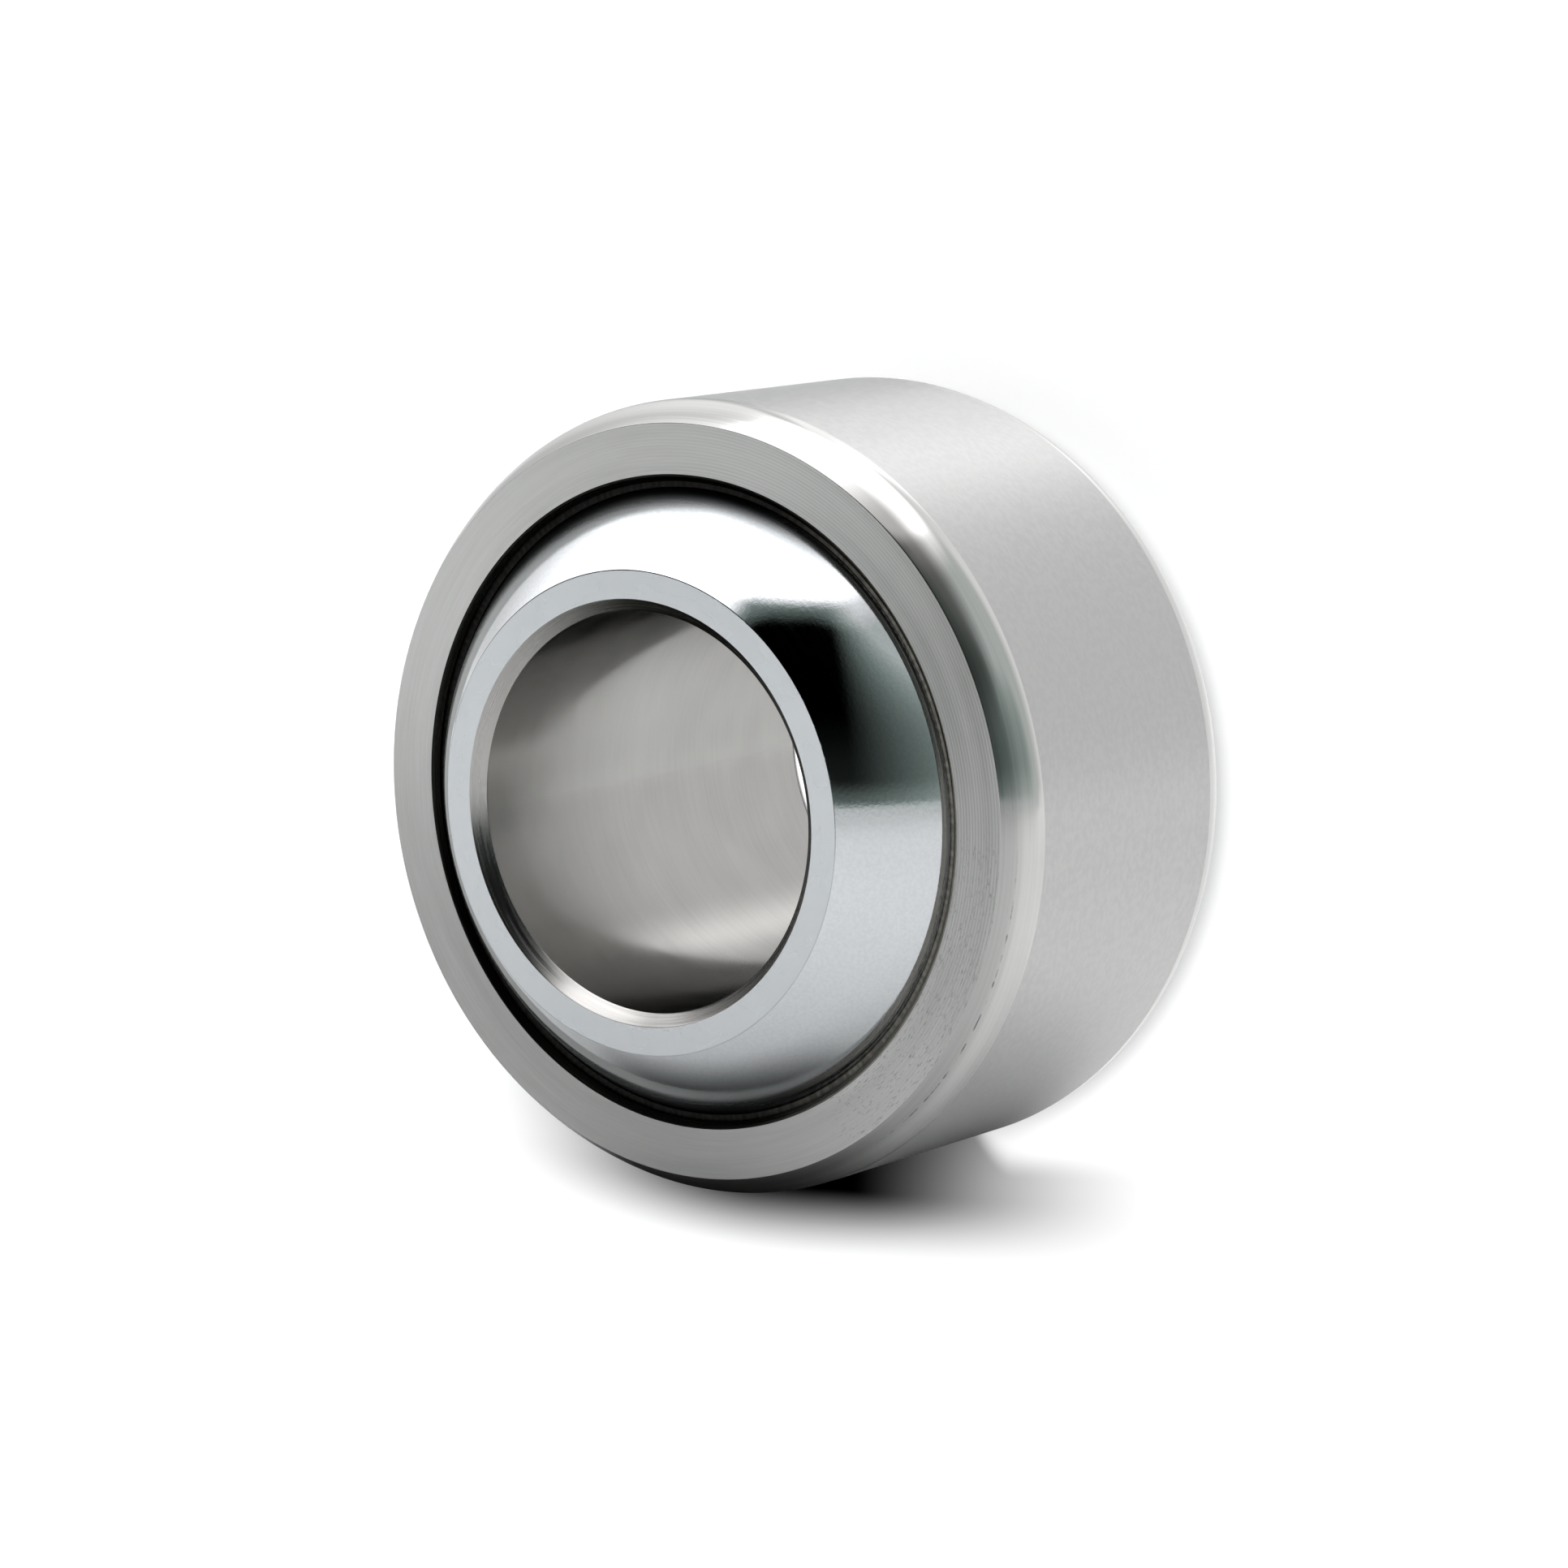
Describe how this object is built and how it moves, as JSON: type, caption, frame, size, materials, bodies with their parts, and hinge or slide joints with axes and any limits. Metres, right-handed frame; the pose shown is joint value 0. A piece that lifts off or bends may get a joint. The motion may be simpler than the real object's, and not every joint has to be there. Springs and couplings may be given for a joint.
{
  "type": "spherical plain bearing",
  "caption": "Self-aligning plain bearing: a bored, polished ball held by a swaged outer ring with a woven dry-running liner, free to tilt and turn.",
  "frame": {"origin": "centre of the sphere, which is also the centre of both rings", "axes": "+Z along the bore of both rings at rest, up from the flat that the ball stands on; X is the tilt axis"},
  "size_m": [0.028, 0.028, 0.019],
  "materials": {
    "polished_steel": "mirror-polished sphere, fine-ground flats and honed bore, hard chrome plated",
    "woven_liner": "resin-bound woven liner, dark brown, matt",
    "ground_steel": "ground outside, turned faces and chamfers, satin"
  },
  "bodies": {
    "ball": {"inner_ring": "polished_steel"},
    "ring": {"outer_ring": "ground_steel", "fabric_liner": "woven_liner"}
  },
  "joints": [
    {"name": "ring_tilt", "type": "hinge", "parent": "ball", "child": "ring", "pos_m": [0, 0, 0], "axis": [1, 0, 0], "range_deg": [-16, 16]}
  ]
}
